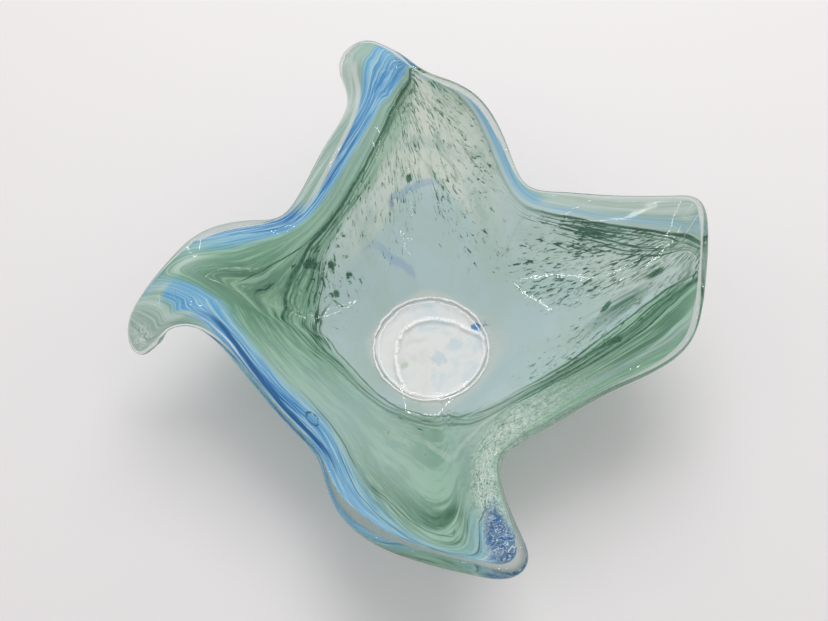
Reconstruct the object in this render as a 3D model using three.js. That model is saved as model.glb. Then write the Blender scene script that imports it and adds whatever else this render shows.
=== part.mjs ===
// Freeform cased art-glass bowl with four pulled lobes. Millimetres, +Z up.
// The origin is on the table at the centre of the round foot; lobe D points along +X and
// lobe A along +Y. The bowl is one hot-worked shell made of gathers of glass laid one over
// another, and each gather is a solid of its own here: an inner clear lining, the coloured
// frit layer, two trails of colour near the edge, the outer clear casing and the foot.
import * as THREE from 'three';

// ---- driving dimensions -------------------------------------------------------------
const FOOT_RADIUS = 33;        // ground foot disc
const FOOT_HEIGHT = 6;
const WALL_THICKNESS = 5.2;    // whole wall, all gathers together
const LINING_THICKNESS = 0.9;  // clear glass inside the colour
const COLOUR_THICKNESS = 1.0;  // frit layer and the two rim trails
const GAP = 0.45;              // clearance left between one gather and the next
const WELL_RADIUS = 28.5;      // flat round floor of the bowl
const FLOOR_HEIGHT = FOOT_HEIGHT + GAP + WALL_THICKNESS;

// Depths below the inner face.
const COLOUR_TOP = LINING_THICKNESS + GAP;
const COLOUR_DEPTH = COLOUR_TOP + COLOUR_THICKNESS;
const CASING_TOP = COLOUR_DEPTH + GAP;

// Guide points, lobe by lobe, counter-clockwise seen from above. Every station gives the rim
// and the bend below it (where the wall turns over into the flange), each as
// [bearing deg, reach mm, height mm], and how far the flange arches above a straight line.
const STATIONS = [
  { at: 'valley DA', rim: [57, 81, 46], bend: [56, 72, 43], arch: 0 },
  { at: 'A foot of shoulder', rim: [69, 96.5, 61], bend: [72, 90, 52], arch: 0 },
  { at: 'A shoulder', rim: [78, 111, 71], bend: [81, 106, 60], arch: 0 },
  { at: 'A far edge', rim: [86.5, 115, 75], bend: [87, 111, 65], arch: 0 },
  { at: 'A far end', rim: [95, 117, 79], bend: [93, 114, 68], arch: 1 },
  { at: 'A nose', rim: [102, 153, 78], bend: [97, 117, 69], arch: 6 },
  { at: 'A curl', rim: [110, 155, 58], bend: [99, 112, 69], arch: 16 },
  { at: 'A under curl', rim: [107.5, 135, 51], bend: [101, 104, 67], arch: 17 },
  { at: 'A flank', rim: [115, 106, 69], bend: [104, 95, 64], arch: 7 },
  { at: 'A low flank', rim: [125, 99, 56], bend: [114, 80, 57], arch: 3 },
  { at: 'valley AB', rim: [143, 88, 45], bend: [138, 69, 48], arch: 2 },
  { at: 'B foot of shoulder', rim: [150, 98, 53], bend: [156, 76, 48], arch: 2 },
  { at: 'B shoulder', rim: [160.5, 114, 62], bend: [167, 88, 52], arch: 2 },
  { at: 'B far edge', rim: [172, 119, 70], bend: [171, 100, 58], arch: 3 },
  { at: 'B curl', rim: [182.2, 143.7, 55.7], bend: [176, 106, 62], arch: 15 },
  { at: 'B end of curl', rim: [190.4, 138.4, 42.1], bend: [177.4, 102.8, 61], arch: 17.3 },
  { at: 'B under curl', rim: [185.8, 124.6, 62.2], bend: [178.3, 97.5, 58.5], arch: 6.8 },
  { at: 'B near edge', rim: [185.5, 102.2, 60], bend: [188.3, 86.5, 55], arch: 2 },
  { at: 'B flank', rim: [197.8, 89.5, 58], bend: [196, 77, 49], arch: 0.5 },
  { at: 'B low flank', rim: [219, 82.5, 46], bend: [216, 69, 42], arch: 0.5 },
  { at: 'valley BC', rim: [236, 81, 45], bend: [236, 72, 40], arch: 0 },
  { at: 'C foot of shoulder', rim: [245, 100, 49], bend: [247, 87, 43], arch: 0 },
  { at: 'C shoulder', rim: [256, 111, 58], bend: [257, 99, 49], arch: 0 },
  { at: 'C near edge', rim: [267, 117.5, 65], bend: [266, 108, 55], arch: 0 },
  { at: 'C end', rim: [277, 125, 71], bend: [272.5, 114, 60], arch: 0 },
  { at: 'C tip', rim: [284, 131.5, 72], bend: [275.5, 114, 61], arch: 1 },
  { at: 'C back of tip', rim: [286, 123.5, 73], bend: [277, 109, 60], arch: 1 },
  { at: 'C flank', rim: [286, 107.5, 62], bend: [279, 99, 55], arch: 1 },
  { at: 'C low flank', rim: [287, 86, 51], bend: [281.5, 82, 47], arch: 0.5 },
  { at: 'valley CD', rim: [291.5, 70, 45], bend: [290, 63, 41], arch: 0 },
  { at: 'D foot of shoulder', rim: [311.5, 73.5, 50], bend: [315, 55, 41], arch: 0 },
  { at: 'D shoulder', rim: [331, 83.5, 55], bend: [338, 66, 45], arch: 1 },
  { at: 'D near edge', rim: [341, 102, 60], bend: [353, 86, 52], arch: 1 },
  { at: 'D end', rim: [349, 116.5, 65], bend: [362, 104, 57], arch: 1 },
  { at: 'D back of tip', rim: [361, 119.5, 66], bend: [368, 115, 61], arch: 0 },
  { at: 'D tip', rim: [379, 131.5, 80], bend: [373, 119, 65], arch: 0 },
  { at: 'D flank', rim: [381, 124, 75], bend: [378, 111, 62], arch: 0 },
  { at: 'D low flank', rim: [394, 100, 59], bend: [390, 93, 52], arch: 0 },
  { at: 'D foot of flank', rim: [405.5, 93, 50], bend: [404, 81, 45], arch: 0 },
];
const C_TIP = 25;              // green trail from here ...
const D_TIP = 35;              // ... to here, blue round the rest

// ---- shape of the inner face ----------------------------------------------------------
const rad = THREE.MathUtils.degToRad;
const count = STATIONS.length;
const place = ([deg, reach, height]) =>
  new THREE.Vector3(reach * Math.cos(rad(deg)), reach * Math.sin(rad(deg)), height);
const rims = STATIONS.map((s) => place(s.rim));
const bends = STATIONS.map((s) => place(s.bend));

// Weights of a uniform cubic B-spline on its four guides, s = 0..1 along the span.
const weights = (s) => [
  (1 - s) ** 3 / 6,
  (3 * s ** 3 - 6 * s ** 2 + 4) / 6,
  (-3 * s ** 3 + 3 * s ** 2 + 3 * s + 1) / 6,
  s ** 3 / 6,
];
const blend = (points, w) => points.reduce(
  (sum, p, i) => sum.addScaledVector(p, w[i]), new THREE.Vector3());

// Guides of the section at one place round the bowl: floor, wall, bend, flange and rim.
function section(travel) {
  const start = Math.floor(travel);
  const w = weights(travel - start);
  const near = [-1, 0, 1, 2].map((i) => start + i);
  const around = (list) => blend(near.map((i) => list[(i + count) % count]), w);
  const number = (read) => near.reduce((sum, i, n) => sum + w[n] * read(i), 0);
  const bearing = rad(number((i) => STATIONS[(i + count) % count].bend[0] + 360 * Math.floor(i / count)));
  const arch = number((i) => STATIONS[(i + count) % count].arch);

  const out = new THREE.Vector3(Math.cos(bearing), Math.sin(bearing), 0);
  const floor = (r) => out.clone().multiplyScalar(r).setZ(FLOOR_HEIGHT);
  const well = floor(WELL_RADIUS);
  const bend = around(bends);
  const rim = around(rims);
  const wall = (across, up) => well.clone().lerp(bend, across)
    .setZ(FLOOR_HEIGHT + up * (bend.z - FLOOR_HEIGHT));
  const flange = bend.clone().lerp(rim, 0.55);
  flange.z += arch;
  const beyond = rim.clone().multiplyScalar(2).sub(flange);
  return [floor(WELL_RADIUS - 20), floor(WELL_RADIUS - 10), well, wall(0.33, 0.16), wall(0.7, 0.56),
    bend, flange, rim, beyond];
}

// climb < 0 is the flat floor (-1 centre); 0 to 6 runs up the wall, past the bend near 4, to
// the rim at 6.
function innerFace(travel, climb) {
  const guides = section(travel);
  if (climb < 0) {
    const r = (WELL_RADIUS - 10) * (1 + climb);
    return guides[1].clone().setZ(0).setLength(r).setZ(FLOOR_HEIGHT);
  }
  const span = Math.min(Math.floor(climb), 5);
  return blend(guides.slice(span, span + 4), weights(climb - span));
}

// Unit vectors at a place: into the hollow of the bowl, and out past the rim.
function facing(travel, climb) {
  if (climb <= 0) return { inward: new THREE.Vector3(0, 0, 1) };
  const step = 0.01;
  const round = innerFace(travel + step, climb).sub(innerFace(travel - step, climb));
  const rise = innerFace(travel, Math.min(climb + step, 6)).sub(innerFace(travel, climb - step));
  const inward = rise.cross(round).normalize();
  return { inward, outward: round.cross(inward).normalize() };
}

// ---- solids -------------------------------------------------------------------------
const PER_STATION = 2;
const AROUND = count * PER_STATION;
const WINDOW = 0.8;            // the floor is clear glass inside this line
const COLOUR_FROM = 0.87;
const COLOUR_TO = 4.62;
const TRAIL_FROM = 4.7;
const TRAIL_TO = 5.4;
const LIP_FROM = 5.58;         // clear full-thickness lip from here to the rim
const RIM = 6;
const ROWS = [-0.5, WINDOW, COLOUR_FROM, 1.5, 2.2, 2.9, 3.5, 4, 4.35, COLOUR_TO,
  TRAIL_FROM, 5.05, TRAIL_TO, LIP_FROM, RIM];

// Rows of a skin at one depth below the inner face, climbing or coming back down.
const climbing = (from, to, depth) =>
  ROWS.filter((climb) => climb >= from && climb <= to).map((climb) => ({ climb, depth, side: 0 }));
const descending = (from, to, depth) =>
  climbing(from, to, depth).reverse().map((row) => ({ ...row, side: 1 }));

function point(travel, { climb, depth, lip }) {
  const { inward, outward } = facing(travel, climb);
  const p = innerFace(travel, climb).addScaledVector(inward, -depth);
  if (lip !== undefined) {
    p.addScaledVector(inward, (WALL_THICKNESS / 2) * Math.cos(rad(lip)));
    p.addScaledVector(outward, (WALL_THICKNESS / 2) * Math.sin(rad(lip)));
  }
  return p;
}

// Skins a closed path of rows all the way round, or between two columns with flat ends. A
// path that has poles starts and ends on the axis at those heights.
function skin(path, { from = 0, to = AROUND, poles = null } = {}) {
  const whole = to - from === AROUND;
  const columns = whole ? AROUND : to - from + 1;
  const n = path.length;
  const positions = [];
  const index = [];
  for (let i = 0; i < columns; i++) {
    const travel = ((from + i) % AROUND) / PER_STATION;
    for (const row of path) positions.push(...point(travel, row).toArray());
  }
  const id = (i, j) => (i % columns) * n + (j % n);
  for (let i = 0; i < (whole ? columns : columns - 1); i++) {
    for (let j = 0; j < (poles ? n - 1 : n); j++) {
      const [a, b, c, d] = [id(i, j), id(i, j + 1), id(i + 1, j + 1), id(i + 1, j)];
      // The same diagonal on both sides of the wall keeps neighbouring gathers parallel.
      if (path[j].side === 0) index.push(a, b, c, a, c, d);
      else index.push(a, b, d, b, c, d);
    }
  }
  if (poles) {
    const [top, bottom] = [columns * n, columns * n + 1];
    positions.push(0, 0, poles[0], 0, 0, poles[1]);
    for (let i = 0; i < columns; i++) {
      index.push(top, id(i, 0), id(i + 1, 0), bottom, id(i + 1, n - 1), id(i, n - 1));
    }
  }
  if (!whole) {
    const last = (columns - 1) * n;
    for (let j = 0; j < n / 2 - 1; j++) {
      const k = n - 1 - j;
      index.push(j, k, k - 1, j, k - 1, j + 1);
      index.push(last + j, last + k - 1, last + k, last + j, last + j + 1, last + k - 1);
    }
  }
  const geometry = new THREE.BufferGeometry();
  geometry.setAttribute('position', new THREE.Float32BufferAttribute(positions, 3));
  geometry.setIndex(index);
  return geometry;
}

const bowl = new THREE.Group();
bowl.name = 'art_glass_bowl';
function add(name, geometry, color, roughness, opacity) {
  geometry.computeVertexNormals();
  const material = new THREE.MeshStandardMaterial({
    color, roughness, metalness: 0, transparent: opacity < 1, opacity,
  });
  const mesh = new THREE.Mesh(geometry, material);
  mesh.name = name;
  bowl.add(mesh);
}

// Inner clear gather: thin up the wall, thicker in the middle where it fills the window.
const lining = [
  ...climbing(-0.5, TRAIL_TO, 0),
  ...descending(COLOUR_FROM, TRAIL_TO, LINING_THICKNESS),
  ...descending(-0.5, WINDOW, COLOUR_DEPTH),
];
add('inner_lining', skin(lining, { poles: [FLOOR_HEIGHT, FLOOR_HEIGHT - COLOUR_DEPTH] }),
  '#dfe6e2', 0.05, 0.35);

// Coloured frit from the window to the trails, then the trails themselves.
const coloured = (from, to) =>
  [...climbing(from, to, COLOUR_TOP), ...descending(from, to, COLOUR_DEPTH)];
add('colour_layer', skin(coloured(COLOUR_FROM, COLOUR_TO)), '#a6c2bb', 0.25, 1);
const trail = coloured(TRAIL_FROM, TRAIL_TO);
const toColumn = (station) => station * PER_STATION;
add('blue_rim_trail', skin(trail, { from: toColumn(D_TIP), to: AROUND + toColumn(C_TIP) - 1 }),
  '#5f9fc9', 0.2, 1);
add('green_rim_trail', skin(trail, { from: toColumn(C_TIP), to: toColumn(D_TIP) - 1 }),
  '#7fae93', 0.2, 1);

// Outer clear gather: rebated for the other gathers, full thickness at the rounded lip.
const casing = [
  ...climbing(-0.5, TRAIL_TO, CASING_TOP),
  ...climbing(LIP_FROM, RIM, 0),
  ...[45, 90, 135].map((lip) => ({ climb: RIM, depth: WALL_THICKNESS / 2, side: 1, lip })),
  ...descending(-0.5, RIM, WALL_THICKNESS),
];
add('clear_casing', skin(casing, { poles: [FLOOR_HEIGHT - CASING_TOP, FLOOR_HEIGHT - WALL_THICKNESS] }),
  '#d3dfda', 0.05, 0.35);

// Foot: a clear disc with eased edges, ground flat underneath.
const foot = [[0, 0], [FOOT_RADIUS - 1.2, 0], [FOOT_RADIUS, 1.2], [FOOT_RADIUS, FOOT_HEIGHT - 1.6],
  [FOOT_RADIUS - 1.6, FOOT_HEIGHT], [0, FOOT_HEIGHT]].map(([r, z]) => new THREE.Vector2(r, z));
add('foot_pad', new THREE.LatheGeometry(foot, 48).rotateX(Math.PI / 2), '#e4e9e6', 0.08, 0.35);

export default bowl;
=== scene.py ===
"""Looks for the freeform cased art-glass bowl: the gathers of glass rebuilt as smooth shells
on the same guide surface as the CAD, with their colour drawn along the pull of the glass."""
import math

import bpy
import numpy as np
from mathutils import Matrix, Vector


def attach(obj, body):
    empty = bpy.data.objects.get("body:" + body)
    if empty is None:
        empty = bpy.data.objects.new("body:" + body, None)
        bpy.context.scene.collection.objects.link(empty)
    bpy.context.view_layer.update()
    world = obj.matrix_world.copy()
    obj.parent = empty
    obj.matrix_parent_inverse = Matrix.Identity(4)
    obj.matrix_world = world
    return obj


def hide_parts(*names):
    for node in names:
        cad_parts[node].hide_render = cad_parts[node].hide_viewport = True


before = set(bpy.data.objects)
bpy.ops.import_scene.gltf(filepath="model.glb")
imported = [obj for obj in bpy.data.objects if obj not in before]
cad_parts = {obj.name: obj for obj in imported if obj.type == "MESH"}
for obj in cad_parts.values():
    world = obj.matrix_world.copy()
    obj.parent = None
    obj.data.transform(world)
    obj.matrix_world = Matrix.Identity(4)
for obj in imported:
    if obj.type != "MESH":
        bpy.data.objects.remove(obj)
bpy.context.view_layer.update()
MM = 0.001

# ---- guide surface, the same as the CAD's, in millimetres -----------------------------
FOOT_RADIUS, FOOT_HEIGHT = 33.0, 6.0
WALL, LINING, COLOUR, GAP = 5.2, 0.9, 1.0, 0.45
WELL_RADIUS = 28.5
FLOOR_HEIGHT = FOOT_HEIGHT + GAP + WALL
COLOUR_TOP = LINING + GAP
COLOUR_DEPTH = COLOUR_TOP + COLOUR
CASING_TOP = COLOUR_DEPTH + GAP

# Rim and bend of each station as bearing deg, reach, height; then the arch of the flange. The
# stations run round from lobe A (along +Y) over B and C to D (along +X). A place on a face is a
# travel, 0 to 39 over the stations, and a climb: -1 in the middle of the flat floor, 0 where the
# section starts to curve, near 4 at the bend, 6 at the rim and 6.5 outermost on the round lip.
STATIONS = [
    ((57, 81, 46), (56, 72, 43), 0), ((69, 96.5, 61), (72, 90, 52), 0), ((78, 111, 71), (81, 106, 60), 0),
    ((86.5, 115, 75), (87, 111, 65), 0), ((95, 117, 79), (93, 114, 68), 1),
    ((102, 153, 78), (97, 117, 69), 6), ((110, 155, 58), (99, 112, 69), 16),
    ((107.5, 135, 51), (101, 104, 67), 17), ((115, 106, 69), (104, 95, 64), 7),
    ((125, 99, 56), (114, 80, 57), 3), ((143, 88, 45), (138, 69, 48), 2), ((150, 98, 53), (156, 76, 48), 2),
    ((160.5, 114, 62), (167, 88, 52), 2), ((172, 119, 70), (171, 100, 58), 3),
    ((182.2, 143.7, 55.7), (176, 106, 62), 15), ((190.4, 138.4, 42.1), (177.4, 102.8, 61), 17.3),
    ((185.8, 124.6, 62.2), (178.3, 97.5, 58.5), 6.8), ((185.5, 102.2, 60), (188.3, 86.5, 55), 2),
    ((197.8, 89.5, 58), (196, 77, 49), 0.5), ((219, 82.5, 46), (216, 69, 42), 0.5),
    ((236, 81, 45), (236, 72, 40), 0), ((245, 100, 49), (247, 87, 43), 0),
    ((256, 111, 58), (257, 99, 49), 0), ((267, 117.5, 65), (266, 108, 55), 0),
    ((277, 125, 71), (272.5, 114, 60), 0), ((284, 131.5, 72), (275.5, 114, 61), 1),
    ((286, 123.5, 73), (277, 109, 60), 1), ((286, 107.5, 62), (279, 99, 55), 1),
    ((287, 86, 51), (281.5, 82, 47), 0.5), ((291.5, 70, 45), (290, 63, 41), 0),
    ((311.5, 73.5, 50), (315, 55, 41), 0), ((331, 83.5, 55), (338, 66, 45), 1),
    ((341, 102, 60), (353, 86, 52), 1), ((349, 116.5, 65), (362, 104, 57), 1),
    ((361, 119.5, 66), (368, 115, 61), 0), ((379, 131.5, 80), (373, 119, 65), 0),
    ((381, 124, 75), (378, 111, 62), 0), ((394, 100, 59), (390, 93, 52), 0),
    ((405.5, 93, 50), (404, 81, 45), 0),
]
COUNT = len(STATIONS)
C_TIP, D_TIP = 25, 35       # the rim trail is green from C to D, and blue round the rest
RIM = 6


def place(polar):
    """Bearing, reach and height as x, y, z."""
    a = np.radians([p[0] for p in polar])
    r = np.array([p[1] for p in polar], float)
    return np.stack([r * np.cos(a), r * np.sin(a), np.array([p[2] for p in polar], float)], -1)


RIMS = place([s[0] for s in STATIONS])
BENDS = place([s[1] for s in STATIONS])
BEARINGS = np.array([s[1][0] for s in STATIONS], float)
ARCHES = np.array([s[2] for s in STATIONS], float)


def weights(s):
    """Uniform cubic B-spline weights, s = 0..1 along the span."""
    return np.stack([(1 - s) ** 3, 3 * s**3 - 6 * s**2 + 4, -3 * s**3 + 3 * s**2 + 3 * s + 1, s**3], -1) / 6


def round_the_bowl(values, travel, turn=0.0):
    """Spline through one value or point for each station; turn is what one round adds."""
    start = np.floor(travel).astype(int)
    w = weights(travel - start)
    total = 0
    for m in range(4):
        i = start + m - 1
        v = values[i % COUNT]
        wm = w[:, m]
        if v.ndim > 1:
            total = total + wm[:, None] * v
        else:
            total = total + wm * (v + turn * np.floor(i / COUNT))
    return total


FLOOR_RINGS = (WELL_RADIUS - 20, WELL_RADIUS - 10, WELL_RADIUS)     # radii of the floor's guides
LOW_WALL, HIGH_WALL = (0.33, 0.16), (0.7, 0.56)     # shares of the way out and up to the bend
FLANGE_SHARE = 0.55         # how far out from bend to rim the flange's guide lies


def guides(travel):
    """Nine guides of the section at each travel: floor, wall, bend, flange, rim and beyond."""
    a = np.radians(round_the_bowl(BEARINGS, travel, 360.0))
    out = np.stack([np.cos(a), np.sin(a), 0 * a], -1)
    up = np.array([0, 0, 1.0])
    rim, bend = round_the_bowl(RIMS, travel), round_the_bowl(BENDS, travel)
    floor = [out * r + up * FLOOR_HEIGHT for r in FLOOR_RINGS]
    well = floor[2]

    def wall(across, rise):
        p = well + (bend - well) * across
        p[:, 2] = FLOOR_HEIGHT + rise * (bend[:, 2] - FLOOR_HEIGHT)
        return p

    flange = bend + (rim - bend) * FLANGE_SHARE
    flange[:, 2] += round_the_bowl(ARCHES, travel)
    return np.stack([*floor, wall(*LOW_WALL), wall(*HIGH_WALL), bend, flange, rim, 2 * rim - flange], 1)


def shaped(travel, climbs):
    """Climbs as a table of rows by travels, from one number or one row of numbers each."""
    c = np.asarray(climbs, float)
    return np.broadcast_to(c.reshape(len(c), -1), (len(c), len(travel)))


def sheet_face(travel, climbs):
    """Points of the inner face up to the rim: climbs by travels by xyz, the floor a flat disc."""
    g = guides(travel)
    c = np.minimum(shaped(travel, climbs), RIM)
    span = np.clip(np.floor(c), 0, RIM - 1).astype(int)
    w = weights(c - span)
    column = np.arange(len(travel))
    p = sum(w[..., m, None] * g[column, span + m] for m in range(4))
    disc = g[None, :, 1] * (1 + c)[..., None]
    disc[..., 2] = FLOOR_HEIGHT
    return np.where((c < 0)[..., None], disc, p)


def unit(a):
    return a / np.maximum(np.linalg.norm(a, axis=-1, keepdims=True), 1e-9)


def facing(travel, climbs):
    """Unit vectors into the hollow and out past the rim; beyond the rim they turn round the lip."""
    h = 0.01                # small step of travel or climb
    c = shaped(travel, climbs)
    edge = np.minimum(c, RIM)
    low, high = np.maximum(edge - h, 0), np.minimum(np.maximum(edge, h) + h, RIM)
    rise = sheet_face(travel, high) - sheet_face(travel, low)
    turn = sheet_face(travel + h, edge) - sheet_face(travel - h, edge)
    inward = unit(np.cross(rise, turn))
    inward[c <= 0] = (0, 0, 1)
    outward = unit(np.cross(turn, inward))
    a = (np.maximum(c - RIM, 0) * math.pi)[..., None]
    return inward * np.cos(a) + outward * np.sin(a), outward * np.cos(a) - inward * np.sin(a)


def face(travel, climbs):
    """The inner face, and past the rim the round lip as far as its outermost line."""
    c = shaped(travel, climbs)
    p = sheet_face(travel, climbs)
    inward, _ = facing(travel, climbs)
    level, _ = facing(travel, np.minimum(c, RIM))
    return np.where((c > RIM)[..., None], p + (inward - level) * WALL / 2, p)


# ---- meshes ----------------------------------------------------------
SEAM = 0.004                # hairline between one gather and the next, in climb or travel
PLAIN_COLUMNS, CLOSE_COLUMNS = 10, 45       # mesh columns for each unit of travel
TURNS_UP = ((3.2, 6.4), (12.6, 16.6), (33.7, 35.4))     # where the colour turns up into a lobe


def columns():
    """Travels of the mesh columns, closer together where the colour turns up into a lobe."""
    t = np.arange(COUNT * PLAIN_COLUMNS) / PLAIN_COLUMNS
    for low, high in TURNS_UP:
        close = np.arange(low, high - 1e-6, 1 / CLOSE_COLUMNS)
        t = np.concatenate([t[(t < low) | (t >= high)], close])
    return np.sort(np.append(t, [C_TIP - SEAM, D_TIP - SEAM]))


def ring(knots, soften=0.12):
    """Function of travel through (travel, value) knots, closed round the bowl and softened."""
    fine = 40               # samples for each unit of travel
    at = np.arange(COUNT * fine) / fine
    k = sorted((t % COUNT, v) for t, v in knots)
    ts = [k[-1][0] - COUNT] + [t for t, _ in k] + [k[0][0] + COUNT]
    vs = [k[-1][1]] + [v for _, v in k] + [k[0][1]]
    values = np.interp(at, ts, vs)
    spread = int(round(soften * fine * 3))
    kernel = np.exp(-0.5 * (np.arange(-spread, spread + 1) / (soften * fine)) ** 2)
    wide = np.concatenate([values[-spread:], values, values[:spread]])
    values = np.convolve(wide, kernel / kernel.sum(), "valid")
    at, values = np.append(at, COUNT), np.append(values, values[0])
    return lambda t: np.interp(np.mod(t, COUNT), at, values)


TRAVEL = columns()
AROUND = len(TRAVEL)
WINDOW = 0.8                # climb of the clear window's edge
COLOUR_FROM, COLOUR_TO = WINDOW + 0.03, 4.66
LAST_INNER = 5.98           # the inner face keeps even rows up to here, short of the rim
PAST_RIM = 6.02             # beyond it the layers turn round the middle of the lip
LIP_CORE = 0.1              # and stay this many millimetres off that middle
# Climb where the colour stops short of the clear lip.
EDGE_KNOTS = [
    (0, 6.3), (0.8, 6.15), (1.5, 5.95), (3, 6.02), (3.6, 6.3), (4.6, 6.3), (5.2, 5.98), (5.8, 5.86),
    (6.4, 5.96), (6.9, 6.2), (9, 6.25), (10, 6.2), (10.6, 5.95), (11, 5.78), (12, 5.84), (13, 6.15),
    (14, 6.3), (15, 6.1), (16, 6.3), (20.5, 6.25), (21, 5.85), (21.6, 5.4), (23, 5.32), (24.4, 5.5),
    (25, 5.75), (26, 5.88), (27, 6.1), (28, 6.3), (31, 6.3), (32.5, 6.05), (34, 5.98), (34.6, 6.1),
    (35, 6.02), (35.5, 6.2), (36, 6.3), (38, 6.34)
]
EDGE = ring(EDGE_KNOTS, 0.2)(TRAVEL)


def between(a, b, count):
    """Rows of climbs evenly from a to b, each a number or one for every column."""
    a, b = (np.broadcast_to(np.asarray(x, float), (AROUND,)) for x in (a, b))
    return a + (b - a) * np.linspace(0, 1, count)[:, None]


def rows_at(climbs, depth):
    """Points of rows at a depth below the inner face, and their climbs."""
    inward, _ = facing(TRAVEL, climbs)
    deep = np.where(climbs > PAST_RIM, min(depth, WALL / 2 - LIP_CORE), depth)[..., None]
    return face(TRAVEL, climbs) - inward * deep, climbs


def lip_rows(angles):
    """Rows round the lip, in degrees: 0 faces into the hollow and 90 is the outermost line."""
    base = face(TRAVEL, [RIM])[0]
    inward, outward = (x[0] for x in facing(TRAVEL, [RIM]))
    centre = base - inward * WALL / 2
    return np.stack([centre + (inward * math.cos(a) + outward * math.sin(a)) * WALL / 2
                     for a in np.radians(angles)]), between(RIM, RIM, len(angles))


def mesh_object(name, points, faces, slots, climbs, travels):
    """A smooth mesh of points in millimetres, each with its climb and travel."""
    mesh = bpy.data.meshes.new(name)
    mesh.from_pydata((points * MM).tolist(), [], faces)
    mesh.polygons.foreach_set("material_index", slots)
    mesh.polygons.foreach_set("use_smooth", [True] * len(faces))
    for key, values in (("climb", climbs), ("travel", travels)):
        mesh.attributes.new(key, "FLOAT", "POINT").data.foreach_set("value", np.asarray(values, np.float32))
    mesh.validate()
    mesh.update()
    obj = bpy.data.objects.new(name, mesh)
    bpy.context.scene.collection.objects.link(obj)
    return obj


def closed_shell(name, sections, poles=None, span=None):
    """A shell whose section is one closed path of (rows, climbs, slot) runs.

    poles: heights of the points on the axis where the path starts and ends instead of closing.
    span: first and last column of a strip with flat ends, instead of the whole round."""
    rows = np.concatenate([s[0] for s in sections])
    climbs = np.concatenate([s[1] for s in sections])
    slot_of = np.concatenate([[s[2]] * len(s[1]) for s in sections])
    n, whole = len(rows), span is None
    cols = np.arange(AROUND) if whole else np.arange(span[0], span[1] + 1) % AROUND
    pts = rows[:, cols].transpose(1, 0, 2).reshape(-1, 3)
    travels = np.repeat(TRAVEL[cols], n)
    point_climbs = climbs[:, cols].T.reshape(-1)
    width = len(cols)
    across, along = (width if whole else width - 1), (n - 1 if poles else n)
    i, j = np.repeat(np.arange(across), along), np.tile(np.arange(along), across)
    k, m = (i + 1) % width, (j + 1) % n
    faces = np.stack([i * n + j, i * n + m, k * n + m, k * n + j], -1).tolist()
    slots = np.maximum(slot_of[j], slot_of[m]).tolist()
    if poles:
        top, bottom = len(pts), len(pts) + 1
        pts = np.concatenate([pts, [[0, 0, poles[0]], [0, 0, poles[1]]]])
        travels = np.concatenate([travels, [0, 0]])
        point_climbs = np.concatenate([point_climbs, [-1, -1]])
        for i in range(width):
            k = (i + 1) % width
            faces += [(top, i * n, k * n), (bottom, k * n + n - 1, i * n + n - 1)]
            slots += [slot_of[0], slot_of[-1]]
    if not whole:
        last = (width - 1) * n
        for j in range(n // 2 - 1):
            k = n - 1 - j
            faces += [(j, k, k - 1, j + 1), (last + j, last + j + 1, last + k - 1, last + k)]
            slots += [slot_of[-1]] * 2
    return mesh_object(name, pts, faces, [int(x) for x in slots], point_climbs, travels)


WELL_STEPS = ((28.2, 0.15), (25.6, 0.1))    # radius and fall, millimetres
STEP_WIDTH = 1.8


def well_drop(rows):
    """The floor of the well drops by two fine rings where the window's edge was tooled."""
    r = np.hypot(rows[..., 0], rows[..., 1])
    for radius, fall in WELL_STEPS:
        t = np.clip((radius - r) / STEP_WIDTH + 0.5, 0, 1)
        rows[..., 2] -= fall * t * t * (3 - 2 * t)
    return rows


EXPOSED, HIDDEN, MILKY = 0, 1, 2            # material slots
FLOOR_ROWS = between(-0.95, 0, 20)
BACK_OVER_FLOOR = FLOOR_ROWS[-2::-1]

inner, inner_climbs = rows_at(np.concatenate([
    FLOOR_ROWS, between(0.02, WINDOW, 40), between(WINDOW + 0.1, np.minimum(EDGE, LAST_INNER), 50),
    between(EDGE - 0.01, EDGE, 2)]), 0)
inner = well_drop(inner)
under, under_climbs = rows_at(between(EDGE, COLOUR_FROM, 50), LINING)
bed, bed_climbs = rows_at(np.concatenate([between(WINDOW, 0, 17), BACK_OVER_FLOOR]), COLOUR_DEPTH)
WELL_FALL = sum(fall for _, fall in WELL_STEPS)
lining = closed_shell("bowl_lining", [(inner, inner_climbs, EXPOSED), (under, under_climbs, HIDDEN),
                                      (bed, bed_climbs, MILKY)],
                      poles=(FLOOR_HEIGHT - WELL_FALL, FLOOR_HEIGHT - COLOUR_DEPTH))


def sheet(name, low, high, count, span=None):
    """A sheet of coloured glass between two climbs."""
    return closed_shell(name, [(*rows_at(between(low, high, count), COLOUR_TOP), EXPOSED),
                               (*rows_at(between(high, low, count), COLOUR_DEPTH), HIDDEN)], span=span)


def column_at(station):
    """The mesh column that lies at a station."""
    return int(np.searchsorted(TRAVEL, station))


colour = sheet("bowl_colour", COLOUR_FROM, COLOUR_TO, 72)
blue = sheet("bowl_blue_trail", COLOUR_TO + SEAM, EDGE - SEAM, 60,
             (column_at(D_TIP), AROUND + column_at(C_TIP) - 1))
green = sheet("bowl_green_trail", COLOUR_TO + SEAM, EDGE - SEAM, 48,
              (column_at(C_TIP), column_at(D_TIP) - 1))

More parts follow.
